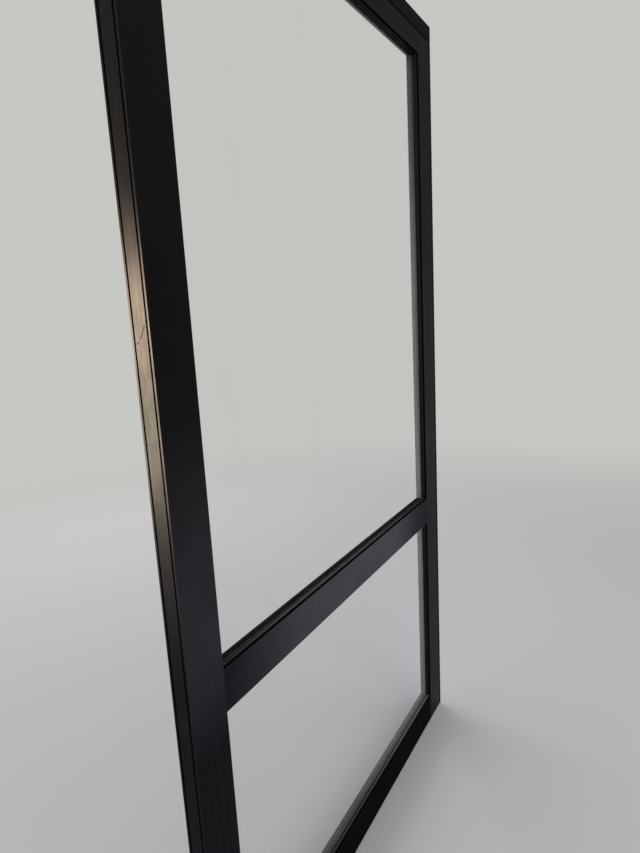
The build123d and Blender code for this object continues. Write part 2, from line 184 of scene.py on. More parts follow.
def blend(tree, share, first, second):
    """A colour between two colours."""
    feeds = {"Factor": share, 6: first, 7: second}
    return place(tree, "Mix", feeds, data_type="RGBA").outputs[2]


def cover(tree, colour, mask, amount, over):
    """A colour with another laid over it, as far as the mask times the amount."""
    return blend(tree, product(tree, mask, amount), colour, over)


def noise(tree, vector, scale, detail=2.0, roughness=0.5):
    """Soft random values from 0 to 1, with about scale lumps to a metre."""
    feeds = {"Vector": vector, "Scale": scale, "Detail": detail, "Roughness": roughness}
    return place(tree, "TexNoise", feeds).outputs[0]


def drawn_noise(tree, vector, lumps, detail, roughness=0.5):
    """Noise with its own number of lumps to a metre along X, Y and Z."""
    return noise(tree, vectors(tree, "MULTIPLY", vector, lumps), 1.0, detail, roughness)


def bumped(tree, height, strength, distance):
    """The normal of a surface whose bumps follow height, up to a distance in metres."""
    feeds = {"Height": height, "Strength": strength, "Distance": distance}
    return place(tree, "Bump", feeds).outputs[0]


print("node helpers are ready")

# %% [markdown]
# ## Marks left by the extrusion press
# An aluminium section is pushed through a die, and every nick of the die draws a line along
# the bar's whole length. The coat softens these lines but doesn't hide them. Noise gives them
# when its coordinates are squeezed across the bar and stretched along it: the group takes a
# stretch for each axis, so one group serves uprights and rails.

# %% Group: lines drawn along a bar
ALONG_Z = (850.0, 850.0, 1.6)
ALONG_X = (1.6, 850.0, 850.0)
BROAD_TO_FINE = 0.27

die_lines, given, end = new_group(
    "die_lines", {"Place": "Vector", "Lines per metre": "Vector"}, ("Fine", "Broad"))
squeezed = vectors(die_lines, "MULTIPLY", given["Place"], given["Lines per metre"])
feed(die_lines, end, {"Fine": noise(die_lines, squeezed, 1.0, 3.0, 0.65),
                      "Broad": noise(die_lines, squeezed, BROAD_TO_FINE)})
print("die lines: about", ALONG_Z[0], "lines to a metre across the bar")

# %% [markdown]
# ## The skin of a powder coat
# Powder melts into a skin that is never quite flat: fine pimples like those of an orange, on
# slow waves about a hand wide. The pimples go into the bump and the slow waves into the
# roughness, where they break up a reflection as they do on a real door.

# %% Group: powder coat skin
PIMPLES_PER_METRE = 900.0
CLOUDS_PER_METRE = 7.0

coat_skin, given, end = new_group(
    "coat_skin", {"Place": "Vector", "Pimples per metre": "Float"}, ("Pimples", "Clouds"))
feed(coat_skin, end, {
    "Pimples": noise(coat_skin, given["Place"], given["Pimples per metre"], 3.0, 0.55),
    "Clouds": noise(coat_skin, given["Place"], CLOUDS_PER_METRE, 4.0, 0.6)})
print("coat skin: a pimple every", round(1000.0 / PIMPLES_PER_METRE, 2), "mm")

# %% [markdown]
# ## Arrises rubbed by hands and cartons, with a painted highlight
# The long edges of a bar are touched first, so the coat there is a little smoother. It is also
# paler there: partly wear, partly a painted highlight for the light that a rounded arris
# catches. A bar is nearly a box, so the distance to its nearest long edge is simple: take how
# far the point is inside each of the two side faces, and the length of those two distances.
# A little noise makes the worn and lit line come and go.

# %% Group: rubbed arrises with a painted highlight
ACROSS_UPRIGHT = (1.0, 1.0, 0.0)
ACROSS_LEVEL = (0.0, 1.0, 1.0)

arris_wear_and_highlight, given, end = new_group(
    "arris_wear_and_highlight",
    {"Place": "Vector", "Middle": "Vector", "Half size": "Vector", "Across": "Vector", "Width": "Float"},
    ("Rub and highlight",))
tree = arris_wear_and_highlight
outwards = vectors(tree, "ABSOLUTE", vectors(tree, "SUBTRACT", given["Place"], given["Middle"]))
inside = vectors(tree, "SUBTRACT", given["Half size"], outwards)
to_edge = vectors(tree, "LENGTH", vectors(tree, "MULTIPLY", inside, given["Across"]))
ragged = noise(tree, given["Place"], 38.0, 3.0, 0.7)
share = sums(tree, "DIVIDE", to_edge, product(tree, given["Width"], ragged))
feed(tree, end, {"Rub and highlight": soft_step(tree, share, 0.4, 1.6, 1.0, 0.0)})
print("rubbed arrises: masks by distance to a bar's long edges")

# %% [markdown]
# ## Dust
# Building dust lies on what faces up and gathers near the floor, in small grains on a thin
# film. The group looks at which way the surface faces and at its height, then breaks the film
# with noise. Every finish on the door takes its own amount of the same dust.

# %% Group: settled dust
DUST_COLOUR = (0.31, 0.30, 0.315, 1.0)
DUSTY_UP_TO = 0.42
LOW_SHARE = 0.20
GRAINS_PER_METRE = 210.0
BARE_CELLS = 0.80
LARGEST_GRAIN = 0.11

settled_dust, given, end = new_group(
    "settled_dust",
    {"Place": "Vector", "Facing": "Vector", "Paling": "Float", "Grains": "Float"}, ("Dust", "Specks"))
tree, at = settled_dust, given["Place"]
facing_up = vectors(tree, "DOT_PRODUCT", given["Facing"], (0.0, 0.0, 1.0))
low_down = soft_step(tree, parts(tree, at)["Z"], 0.0, DUSTY_UP_TO, LOW_SHARE, 0.0)
where = sums(tree, "ADD", soft_step(tree, facing_up, 0.25, 0.95), low_down)
patches = soft_step(tree, noise(tree, at, 26.0, 5.0, 0.65), 0.35, 0.7)
powder = soft_step(tree, noise(tree, at, 1400.0), 0.42, 0.68)
cells = place(tree, "TexVoronoi", {
    "Vector": at, "Scale": GRAINS_PER_METRE, "Randomness": 1.0}).outputs
chosen = place(tree, "SeparateColor", {0: cells["Color"]}).outputs[0]
grain_size = soft_step(tree, chosen, BARE_CELLS, 1.0, 0.0, LARGEST_GRAIN)
grain = soft_step(tree, sums(tree, "SUBTRACT", cells["Distance"], grain_size), 0.0, -0.03)
feed(tree, end, {
    "Dust": sums(tree, "MULTIPLY", product(tree, where, patches, powder), given["Paling"], clamp=True),
    "Specks": sums(tree, "MULTIPLY", grain, given["Grains"], clamp=True)})


def dust_on(tree, at, facing, film, grains):
    """The dust on a finish: the masks of its film and of its grains."""
    return use(tree, settled_dust, {"Place": at, "Facing": facing, "Paling": film, "Grains": grains})


print("dust: on ledges and below", DUSTY_UP_TO, "m")

# %% [markdown]
# ## Painted light on the reveal behind the glass
# A pale grey is painted on the narrow reveal between the glass and the back face. It stands in
# for daylight from behind that the reveal reflects, so it is painted light, not dirt. It lies on
# the hanging side, stronger towards the floor and towards the open edge of the reveal, under the
# top rail, and on the bottom rail, where it is strongest in the corner. The group needs only a
# place and a facing, so that beads, gaskets and the stile can share one painted patch of light
# that runs on from piece to piece.

# %% Group: painted light on the reveal
# The pale colour painted on the reveal as light, and how far it covers.
REVEAL_LIGHT_COLOUR = (0.44, 0.43, 0.45, 1.0)
REVEAL_LIGHT_COVER = 0.95
RAIL_REACH = 0.008
glass_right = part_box("lower_glass")[1].x
film_from = glass_right - 0.030
rail_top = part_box("bottom_rail")[1].z
top_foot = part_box("top_rail")[0].z

reveal_painted_light, given, end = new_group("reveal_painted_light", {"Place": "Vector", "Facing": "Vector"}, ("Paling",))
tree = reveal_painted_light
spot = parts(tree, given["Place"])
facing = parts(tree, given["Facing"])
on_side = steps(
    tree, (spot["X"], film_from, glass_right - 0.014), (facing["X"], -0.5, -0.9),
    (spot["Z"], 0.45, 1.5, 1.45, 0.95), (spot["Z"], 1.6, 2.3, 1.0, 0.45),
    (spot["Y"], 0.0025, 0.0030))
on_foot = steps(
    tree, (spot["Z"], rail_top + RAIL_REACH, rail_top), (facing["Z"], 0.5, 0.9),
    (spot["X"], -0.2, 0.5, 0.32, 0.60), (spot["Y"], -0.0052, -0.0045))
on_top = steps(
    tree, (spot["Z"], top_foot - RAIL_REACH, top_foot), (facing["Z"], -0.5, -0.9),
    (spot["Y"], 0.011, 0.018, 0.0, 0.64))
# The painted light grows towards the back edge of the reveal.
towards_back = soft_step(tree, spot["Y"], 0.003, 0.014, 0.64, 1.0)
streaks = soft_step(tree, drawn_noise(tree, given["Place"], (60.0, 900.0, 14.0), 4.0, 0.6),
                    0.2, 0.8, 0.72, 1.0)
film = product(tree, sums(tree, "ADD", on_side, on_foot), towards_back)
feed(tree, end, {"Paling": product(tree, sums(tree, "ADD", film, on_top), streaks)})


def with_reveal_light(tree, at, facing, colour):
    """A colour with the reveal's painted light over it."""
    film = use(tree, reveal_painted_light, {"Place": at, "Facing": facing})["Paling"]
    return cover(tree, colour, film, REVEAL_LIGHT_COVER, REVEAL_LIGHT_COLOUR)


# The painted light on the reveal begins at this x, and on the bottom rail it lies below this z.
print("reveal film: from x =", round(film_from, 3), "and below z =", round(rail_top + RAIL_REACH, 3))

# %% [markdown]
# ## Black powder coat
# The coat is a very dark black with a hint of violet, nearly matte: even where it is seen at a
# flat angle it stays dark, so its specular level is low. The top rail and the hanging stile
# are a little duller, the head is duller still, and feet have dulled the bottom rail most.
# Nobody touches the upright beads, which kept the most gloss. The lines come from roughness
# and a weak bump, not from paint. Each bar gets its own material because its arrises are where
# its box ends, which the frame can say for every solid. The arrises are paler: partly wear,
# partly a painted highlight. Painted light also lies on the reveal behind the glass. The bottom
# bead in front of each pane carries a pale band on its crest: a film of dust with a painted
# highlight in it.

# %% Material: black coat on a bar
COAT_BLACK = (0.0032, 0.0029, 0.0034, 1.0)
COAT_CLOUDED = (0.0046, 0.0042, 0.0049, 1.0)
# The paler colour of the arrises stands for wear and for a painted highlight.
COAT_RUBBED_AND_LIT = (0.016, 0.015, 0.016, 1.0)
COAT_ROUGHNESS = 0.52
RUB_WIDTH = 0.0016
RUB_AND_HIGHLIGHT_PALES, RUB_SMOOTHS = 0.55, 0.06
DUST_PALES, DUST_ROUGHENS, SPECKS_PALE = 0.45, 0.35, 0.5
PIMPLE_HEIGHT, LINE_HEIGHT = 0.6, 0.9
COAT_DUST, COAT_GRAINS = 0.12, 0.30
CREST_FROM, CREST_SOFT = 0.0085, 0.0010


def coat_tone(tree, at, facing, lines, rub_and_highlight, dusting):
    """The coat's colour, roughness and bump height, from its skin, lines, wear, dust, a painted highlight
    on the arrises and painted light on the reveal.
    """
    skin = use(tree, coat_skin, {"Place": at, "Pimples per metre": PIMPLES_PER_METRE})
    drawn = use(tree, die_lines, {"Place": at, "Lines per metre": lines})
    lying = dust_on(tree, at, facing, dusting, COAT_GRAINS)
    colour = blend(tree, soft_step(tree, skin["Clouds"], 0.3, 0.7), COAT_BLACK, COAT_CLOUDED)
    # Paler arrises: partly wear, partly a painted highlight.
    colour = cover(tree, colour, rub_and_highlight, RUB_AND_HIGHLIGHT_PALES, COAT_RUBBED_AND_LIT)
    colour = cover(tree, colour, lying["Dust"], DUST_PALES, DUST_COLOUR)
    colour = cover(tree, colour, lying["Specks"], SPECKS_PALE, DUST_COLOUR)
    # Painted light on the reveal behind the glass.
    colour = with_reveal_light(tree, at, facing, colour)
    rough = soft_step(tree, drawn["Broad"], 0.3, 0.7, COAT_ROUGHNESS - 0.07, COAT_ROUGHNESS + 0.06)
    rough = sums(tree, "ADD", rough, soft_step(tree, skin["Clouds"], 0.3, 0.7, -0.03, 0.03))
    rough = sums(tree, "SUBTRACT", rough, product(tree, rub_and_highlight, RUB_SMOOTHS))
    rough = sums(tree, "ADD", rough, product(tree, lying["Dust"], DUST_ROUGHENS), clamp=True)
    height = sums(tree, "ADD", product(tree, skin["Pimples"], PIMPLE_HEIGHT),
                  product(tree, drawn["Fine"], LINE_HEIGHT))
    return colour, rough, height


def crest_dust_and_highlight(tree, at, facing, ramps):
    """An even pale band on the outer part of a bead's top, further than CREST_FROM from the middle
    of the leaf's thickness: a dust film with a painted highlight. It is as dense as the product
    of its ramps along x."""
    spot = parts(tree, at)
    outwards = (sums(tree, "ABSOLUTE", spot["Y"]), CREST_FROM - CREST_SOFT, CREST_FROM + CREST_SOFT)
    upwards = (parts(tree, facing)["Z"], 0.25, 0.95)
    return steps(tree, outwards, upwards, *((spot["X"], *ramp) for ramp in ramps))


def black_coat(name, lines, gloss, bar=None, across=None, dusting=COAT_DUST, crest=None):
    """Black powder coat, with paler arrises, partly wear and partly a painted highlight, where a
    bar's box is given, and a pale band of dust and painted highlight on the crest where ramps
    are given."""
    material, tree, surface, at, facing = new_material(name, COAT_BLACK[:3])
    rub_and_highlight = 0.0
    if bar:
        low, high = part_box(bar)
        rub_and_highlight = use(tree, arris_wear_and_highlight, {
            "Place": at, "Middle": (low + high) / 2, "Half size": (high - low) / 2,
            "Across": across, "Width": RUB_WIDTH})["Rub and highlight"]
    colour, rough, height = coat_tone(tree, at, facing, lines, rub_and_highlight, dusting)
    # The crest band: dust colour laid as dust and as a painted highlight.
    if crest:
        colour = blend(tree, crest_dust_and_highlight(tree, at, facing, crest), colour, DUST_COLOUR)
    feed(tree, surface, {"Base Color": colour, "Roughness": rough, "Specular IOR Level": gloss,
                         "Normal": bumped(tree, height, 0.10, 0.0006)})
    return material


# %% Coat on every bar and bead
PLAIN_GLOSS, DULL_GLOSS, HEAD_GLOSS, SCUFFED_GLOSS = 0.055, 0.035, 0.015, 0.004
BEAD_GLOSS, LEDGE_GLOSS = 0.24, 0.12
upright_gloss = {"free_stile": PLAIN_GLOSS, "hanging_stile": DULL_GLOSS, "wall_jamb": PLAIN_GLOSS}
level_gloss = {"mid_rail": PLAIN_GLOSS, "top_rail": DULL_GLOSS, "head": HEAD_GLOSS,
               "bottom_rail": SCUFFED_GLOSS}
finishes = {bar: black_coat(bar + "_coat", ALONG_Z, gloss, bar, ACROSS_UPRIGHT)
            for bar, gloss in upright_gloss.items()}
finishes.update({bar: black_coat(bar + "_coat", ALONG_X, gloss, bar, ACROSS_LEVEL)
                 for bar, gloss in level_gloss.items()})

upright_bead_coat = black_coat("upright_bead_coat", ALONG_Z, BEAD_GLOSS)
level_bead_coat = black_coat("level_bead_coat", ALONG_X, DULL_GLOSS)
for name in nodes:
    if "_bead_" in name:
        level = name.endswith(("_top", "_bottom"))
        finishes[name] = level_bead_coat if level else upright_bead_coat
# The front bottom beads carry a pale crest band, a dust film with a painted highlight, denser at some
# places along x.
finishes["upper_front_bead_bottom"] = black_coat(
    "upper_crest_coat", ALONG_X, SCUFFED_GLOSS,
    crest=[(-0.66, -0.30, 0.04, 0.24), (0.10, 0.56, 1.0, 0.40)])
finishes["lower_front_bead_bottom"] = black_coat(
    "lower_crest_coat", ALONG_X, SCUFFED_GLOSS, crest=[(-0.10, 0.45, 0.12, 0.36)])
finishes["upper_back_bead_bottom"] = black_coat("sheltered_bead_coat", ALONG_X, SCUFFED_GLOSS)
finishes["lower_back_bead_bottom"] = black_coat(
    "dusty_bead_coat", ALONG_X, LEDGE_GLOSS, dusting=1.0)
print("coated bars:", len(upright_gloss) + len(level_gloss), "beads:", sum("_bead_" in n for n in nodes))

# %% [markdown]
# ## Where the coat has a shine
# Three places shine. The bare free edge has a smoother skin, so it mirrors daylight as a long
# warm streak. The mid rail and the free stile have been pushed open by hand for years, which
# polishes the matte coat in the middle of the rail and around the same height on the stile.
# The hanging stile has a faint polish that fades towards its top.
# A shine is a second, clear layer on the same surface: Principled calls it Coat. Its weight is
# a mask, and the coat below stays as it was.

# %% Masks of the shines
DULL_BELOW, DULL_ABOVE = 0.94, 1.86


def shine_on_edge(tree, at, facing):
    """The face that looks away from the leaf at its free edge, with drawn and smudged streaks:
    the product of six soft steps. The shine is weaker below DULL_BELOW, where feet and bags
    brush past, and above DULL_ABOVE, where no hand reaches."""
    outwards = vectors(tree, "DOT_PRODUCT", facing, (-1.0, 0.0, 0.0))
    edge_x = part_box("free_stile")[0].x
    spot = parts(tree, at)
    drawn = drawn_noise(tree, at, (1.0, 420.0, 1.1), 3.0, 0.6)
    smudges = drawn_noise(tree, at, (40.0, 40.0, 16.0), 4.0, 0.65)
    return steps(
        tree, (outwards, 0.75, 0.95), (spot["X"], edge_x + 0.0010, edge_x + 0.0004),
        (spot["Z"], DULL_BELOW, DULL_BELOW + 0.24, 0.05, 1.0),
        (spot["Z"], DULL_ABOVE - 0.14, DULL_ABOVE, 1.0, 0.42),
        (drawn, 0.30, 0.65, 0.62, 1.0), (smudges, 0.30, 0.60, 0.72, 1.0))


def shine_from_hands(tree, at, axis, span):
    """Both wide faces between the outer two of four places along an axis, full between the
    inner two, broken up by cloudy noise."""
    spot = parts(tree, at)
    begin, full, fade, stop = span
    face_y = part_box("free_stile")[1].y
    return steps(
        tree, (spot[axis], begin, full), (spot[axis], fade, stop, 1.0, 0.0),
        (sums(tree, "ABSOLUTE", spot["Y"]), face_y - 0.0012, face_y - 0.0002),
        (noise(tree, at, 9.0, 4.0, 0.6), 0.25, 0.65, 0.80, 1.0))


def add_shine(tree, surface, roughness, layers):
    """Adds a clear layer whose weight is the sum of masks, each times its own amount."""
    weight = 0.0
    for mask, amount in layers:
        weight = sums(tree, "ADD", weight, product(tree, mask, amount), clamp=True)
    feed(tree, surface, {"Coat Weight": weight, "Coat Roughness": roughness})


# %% Shines on the free stile, the mid rail and the hanging stile
EDGE_SHINE, STILE_SHINE, RAIL_SHINE, FAR_SHINE = 0.42, 0.55, 1.0, 0.16
BARE_ROUGHNESS, POLISHED_ROUGHNESS = 0.28, 0.42
STILE_SPAN = (0.74, 0.98, 1.06, 1.50)
RAIL_SPAN = (-0.66, -0.24, 0.20, 0.56)
FAR_SPAN = (-0.20, -0.10, 0.90, 2.20)

tree, surface, at, facing = opened(finishes["free_stile"])
add_shine(tree, surface, BARE_ROUGHNESS, [
    (shine_on_edge(tree, at, facing), EDGE_SHINE),
    (shine_from_hands(tree, at, "Z", STILE_SPAN), STILE_SHINE)])
for bar, axis, span, amount in (("mid_rail", "X", RAIL_SPAN, RAIL_SHINE),
                                ("hanging_stile", "Z", FAR_SPAN, FAR_SHINE)):
    tree, surface, at, facing = opened(finishes[bar])
    add_shine(tree, surface, POLISHED_ROUGHNESS, [(shine_from_hands(tree, at, axis, span), amount)])
print("shine on the stile from z =", STILE_SPAN[0], "to", STILE_SPAN[-1])

# %% [markdown]
# ## A few scratches
# A scratch is a short straight line where the skin is broken. It is dull and a little paler
# than the coat, so it shows dark on the bright streak and pale below it. For any point, the
# nearest point of the line is found by how far along it the point lies, kept between its two
# ends. What is left is a distance, and a soft step of that distance is the scratch.

# %% Group: a scratch
scratch_line, given, end = new_group(
    "scratch_line", {"Place": "Vector", "From": "Vector", "To": "Vector", "Width": "Float"}, ("Mark",))
tree = scratch_line
run = vectors(tree, "SUBTRACT", given["To"], given["From"])
offset = vectors(tree, "SUBTRACT", given["Place"], given["From"])
along = sums(tree, "DIVIDE", vectors(tree, "DOT_PRODUCT", offset, run),
             vectors(tree, "DOT_PRODUCT", run, run), clamp=True)
carried = place(tree, "VectorMath", {0: run, "Scale": along}, operation="SCALE").outputs[0]
gap = vectors(tree, "LENGTH", vectors(tree, "SUBTRACT", offset, carried))
ragged = soft_step(tree, noise(tree, given["Place"], 900.0), 0.3, 0.7, 0.7, 1.5)
share = sums(tree, "DIVIDE", product(tree, gap, ragged), given["Width"])
feed(tree, end, {"Mark": soft_step(tree, share, 0.3, 0.6, 1.0, 0.0)})
print("a scratch is a soft step of the distance to a line")

# %% Scratches on the free edge
SCRATCHES = [
    ((-0.0095, 1.6012), (0.0014, 1.5815), 0.0044),
    ((0.0088, 1.5748), (0.0106, 1.5732), 0.0050),
    ((-0.0115, 0.8605), (-0.0020, 0.8430), 0.0026),
]
SCRATCH_GREY = (0.020, 0.019, 0.020, 1.0)
SCRATCH_DULLS = 0.60


def scratch(material, lines):
    """Dulls the shine along each line, given by the y and z of its two ends and its width."""
    tree, surface, at, facing = opened(material)
    edge_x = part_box("free_stile")[0].x
    marks = 0.0
    for (y0, z0), (y1, z1), width in lines:
        mark = use(tree, scratch_line, {"Place": at, "From": (edge_x, y0, z0),
                                        "To": (edge_x, y1, z1), "Width": width})["Mark"]
        marks = sums(tree, "MAXIMUM", marks, mark)
    colour, shine = (surface.inputs[name].links[0].from_socket for name in ("Base Color", "Coat Weight"))
    kept = sums(tree, "SUBTRACT", 1.0, product(tree, marks, SCRATCH_DULLS))
    feed(tree, surface, {"Base Color": blend(tree, marks, colour, SCRATCH_GREY),
                         "Coat Weight": product(tree, shine, kept)})


scratch(finishes["free_stile"], SCRATCHES)
print("scratches:", len(SCRATCHES))

# %% [markdown]
# ## Clear float glass
# Float glass is clear with a faint green cast, which shows most at grazing angles. It needs a
# real refracting surface, but lamps should shine through it: the glass is mixed with a plain
# see-through surface for shadow rays only. Smears are a slight change of roughness, and the
# glass is never perfectly flat, so a very slow bump lets reflections wander.

# %% Material: clear glass
GLASS_GREEN = (0.955, 0.982, 0.965, 1.0)
GLASS_SMEARED = (0.935, 0.960, 0.945, 1.0)
PANE_SPECKS = (0.42, 0.41, 0.38, 1.0)
PANE_DUST = (0.60, 0.59, 0.55, 1.0)


def clear_glass(name):
    """Clear glass with smears, a faint green cast and a little dust."""
    material, tree, surface, at, facing = new_material(name, (0.85, 0.92, 0.88))
    lying = dust_on(tree, at, facing, 0.5, 0.8)
    wiped = soft_step(tree, drawn_noise(tree, at, (9.0, 9.0, 3.2), 6.0, 0.62), 0.52, 0.75)
    rough = sums(tree, "ADD", product(tree, wiped, 0.035), product(tree, lying["Dust"], 0.25), clamp=True)
    cast = blend(tree, wiped, GLASS_GREEN, GLASS_SMEARED)
    cast = cover(tree, cast, lying["Specks"], 0.45, PANE_SPECKS)
    cast = cover(tree, cast, lying["Dust"], 0.35, PANE_DUST)
    waves = noise(tree, at, 3.0, 1.0)
    feed(tree, surface, {"Base Color": cast, "Roughness": rough, "IOR": 1.52, "Metallic": 0.0,
                         "Transmission Weight": 1.0, "Normal": bumped(tree, waves, 0.05, 0.001)})
    see_through = place(tree, "BsdfTransparent", {"Color": (0.93, 0.96, 0.94, 1.0)})
    rays = place(tree, "LightPath").outputs
    mixed = place(tree, "MixShader", {
        0: rays["Is Shadow Ray"], 1: surface.outputs[0], 2: see_through.outputs[0]})
    feed(tree, tree.nodes["Material Output"], {"Surface": mixed.outputs[0]})
    return material


pane_glass = clear_glass("pane_glass")
panes = [name for name in nodes if name.endswith("_glass")]
finishes.update({name: pane_glass for name in panes})
print("panes:", panes)

# %% [markdown]
# ## Rubber and plastic
# The wedge gaskets are extruded rubber: matte, slightly grey on top from bloom, with drawn
# lines along their length. The packers and the end cap are moulded: their mould was spark
# eroded, which leaves a fine even grain that catches light in points.

# %% Materials: rubber and moulded plastic
def gasket_rubber(name):
    """Matte black rubber with drawn lines in both directions, bloom, dust and the painted light of the
    reveal.
    """
    material, tree, surface, at, facing = new_material(name, (0.012, 0.012, 0.012))
    upright_lines = use(tree, die_lines, {"Place": at, "Lines per metre": ALONG_Z})["Fine"]
    level_lines = use(tree, die_lines, {"Place": at, "Lines per metre": ALONG_X})["Fine"]
    in_front = steps(tree, (parts(tree, at)["Y"], 0.0, -0.0020), (parts(tree, facing)["Z"], 0.1, 0.8))
    lying = dust_on(tree, at, facing, 0.2, 0.3)
    bloom = soft_step(tree, noise(tree, at, 30.0, 4.0, 0.6), 0.4, 0.75)
    colour = blend(tree, bloom, (0.010, 0.010, 0.010, 1.0), (0.020, 0.020, 0.021, 1.0))
    colour = cover(tree, colour, in_front, 0.10, DUST_COLOUR)
    colour = cover(tree, colour, lying["Dust"], 0.45, DUST_COLOUR)
    # Painted light on the reveal behind the glass.
    colour = with_reveal_light(tree, at, facing, colour)
    both_lines = product(tree, upright_lines, level_lines)
    feed(tree, surface, {
        "Base Color": colour, "Roughness": soft_step(tree, bloom, 0.0, 1.0, 0.62, 0.80),
        "Specular IOR Level": 0.10, "Normal": bumped(tree, both_lines, 0.25, 0.0004)})
    return material


def moulded_plastic(name, colour, paler, grain_per_metre, roughness):
    """Moulded plastic: an even spark-eroded grain, scuffs that are paler, and dust."""
    material, tree, surface, at, facing = new_material(name, colour[:3])
    skin = use(tree, coat_skin, {"Place": at, "Pimples per metre": grain_per_metre})
    lying = dust_on(tree, at, facing, 0.8, 0.4)
    scuffs = soft_step(tree, drawn_noise(tree, at, (60.0, 60.0, 400.0), 3.0), 0.60, 0.75)
    tone = cover(tree, colour, scuffs, 0.5, paler)
    tone = cover(tree, tone, lying["Dust"], 0.4, DUST_COLOUR)
    rough = soft_step(tree, skin["Clouds"], 0.3, 0.7, roughness - 0.06, roughness + 0.06)
    feed(tree, surface, {"Base Color": tone, "Roughness": rough, "Specular IOR Level": 0.4,
                         "Normal": bumped(tree, skin["Pimples"], 0.30, 0.0004)})
    return material


rubber = gasket_rubber("wedge_gasket_rubber")
packer = moulded_plastic("packer_plastic_grain", (0.055, 0.055, 0.060, 1.0),
                         (0.14, 0.14, 0.15, 1.0), 1500.0, 0.50)
cap_plastic = moulded_plastic("end_cap_plastic", (0.014, 0.014, 0.014, 1.0),
                              (0.035, 0.035, 0.035, 1.0), 2200.0, 0.55)
finishes["head_end_cap"] = cap_plastic
for name in nodes:
    if name.endswith("_gaskets"):
        finishes[name] = rubber
    if name.endswith(("setting_blocks", "side_blocks")):
        finishes[name] = packer
print("rubber and plastic pieces:", sum(finishes[n] in (rubber, packer, cap_plastic) for n in finishes))

# %% [markdown]
# ## Bare metals
# Three metals show when the leaf is opened or taken apart. The rail blocks are sawn from bar,
# so they keep saw lines. Steel parts are zinc plated: a fine crystal bloom with a faint blue
# and straw cast. The bronze bushes are turned, so their tool lines are rings about the pivot.

# %% Materials: sawn aluminium, zinc plated steel, turned bronze
TURNING_PITCH = 0.00035


def sawn_aluminium(name):
    """Bare aluminium with saw lines across it and a dull oxide."""
    material, tree, surface, at, facing = new_material(name, (0.62, 0.62, 0.63))
    sawn = drawn_noise(tree, at, (260.0, 5200.0, 40.0), 3.0, 0.6)
    oxide = soft_step(tree, noise(tree, at, 45.0, 5.0, 0.65), 0.35, 0.7)
    feed(tree, surface, {
        "Base Color": blend(tree, oxide, (0.66, 0.66, 0.67, 1.0), (0.50, 0.50, 0.51, 1.0)),
        "Roughness": soft_step(tree, sawn, 0.3, 0.7, 0.28, 0.46), "Metallic": 1.0,
        "Normal": bumped(tree, sawn, 0.35, 0.0003)})
    return material


def zinc_plate(name):
    """Zinc plated steel: a crystal bloom, a blue and straw cast, and dust."""
    material, tree, surface, at, facing = new_material(name, (0.55, 0.56, 0.57))
    crystals = place(tree, "TexVoronoi", {"Vector": at, "Scale": 620.0})
    tone = place(tree, "SeparateColor", {0: crystals.outputs["Color"]}).outputs[0]
    straw = soft_step(tree, noise(tree, at, 70.0, 3.0), 0.40, 0.65)
    dust = dust_on(tree, at, facing, 0.8, 0.3)["Dust"]
    colour = blend(tree, straw, (0.50, 0.53, 0.57, 1.0), (0.60, 0.57, 0.48, 1.0))
    colour = cover(tree, colour, tone, 0.25, (0.42, 0.43, 0.44, 1.0))
    colour = cover(tree, colour, dust, 0.5, DUST_COLOUR)
    rough = soft_step(tree, tone, 0.0, 1.0, 0.30, 0.42)
    feed(tree, surface, {
        "Base Color": colour,
        "Roughness": sums(tree, "ADD", rough, product(tree, dust, 0.3), clamp=True),
        "Metallic": sums(tree, "SUBTRACT", 1.0, product(tree, dust, 0.6), clamp=True),
        "Normal": bumped(tree, noise(tree, at, 2400.0), 0.2, 0.0003)})
    return material


def turned_bronze(name, axis_x):
    """Turned bronze: rings about the pivot, the sine of the distance to its axis."""
    material, tree, surface, at, facing = new_material(name, (0.58, 0.40, 0.19))
    from_axis = vectors(tree, "SUBTRACT", at, (axis_x, 0.0, 0.0))
    radius = vectors(tree, "LENGTH", vectors(tree, "MULTIPLY", from_axis, (1.0, 1.0, 0.0)))
    rings = sums(tree, "SINE", product(tree, radius, 2.0 * math.pi / TURNING_PITCH))
    tarnish = soft_step(tree, noise(tree, at, 160.0, 4.0, 0.6), 0.4, 0.7)
    feed(tree, surface, {
        "Base Color": blend(tree, tarnish, (0.62, 0.43, 0.20, 1.0), (0.40, 0.25, 0.11, 1.0)),
        "Roughness": soft_step(tree, tarnish, 0.0, 1.0, 0.24, 0.42), "Metallic": 1.0,
        "Normal": bumped(tree, rings, 0.2, 0.0002)})
    return material


pivot_x = frame["joints"][0]["pos_m"][0]
aluminium = sawn_aluminium("sawn_aluminium")
zinc = zinc_plate("zinc_plated_steel")
bronze = turned_bronze("turned_bronze", pivot_x)
bare = {
    aluminium: ("top_rail_blocks", "mid_rail_blocks", "bottom_rail_blocks"),
    bronze: ("bottom_bush", "socket_bush", "thrust_disc"),
    zinc: ("floor_pivot_plate", "floor_spindle", "pivot_socket", "bottom_pivot_block",
           "top_pivot_block", "top_pivot_pin", "nut_plates", "rail_bolts"),
}
for metal, names in bare.items():
    finishes.update({name: metal for name in names})
print("pivot axis at x =", pivot_x, "m")

# %% [markdown]
# ## Finishes on the solids
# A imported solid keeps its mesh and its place. Only the material in its slot changes. The
# pieces that are made anew below hide their solid instead, so they are left out here.

# %% Put the finishes on
made_anew = ["hanging_edge_piles", "head_piles", "foot_piles", "pivot_block_screws"]
for name, solid in nodes.items():
    if name in made_anew:
        continue
    solid.data.materials.clear()
    solid.data.materials.append(finishes[name])
print("dressed solids:", len(nodes) - len(made_anew))

# %% [markdown]
# ## Helpers for new pieces
# A new piece is an array of points and a list of faces. Pieces that are made of several parts
# join them first: each part's faces name its points by number, so they move up by the number
# of points that come before.

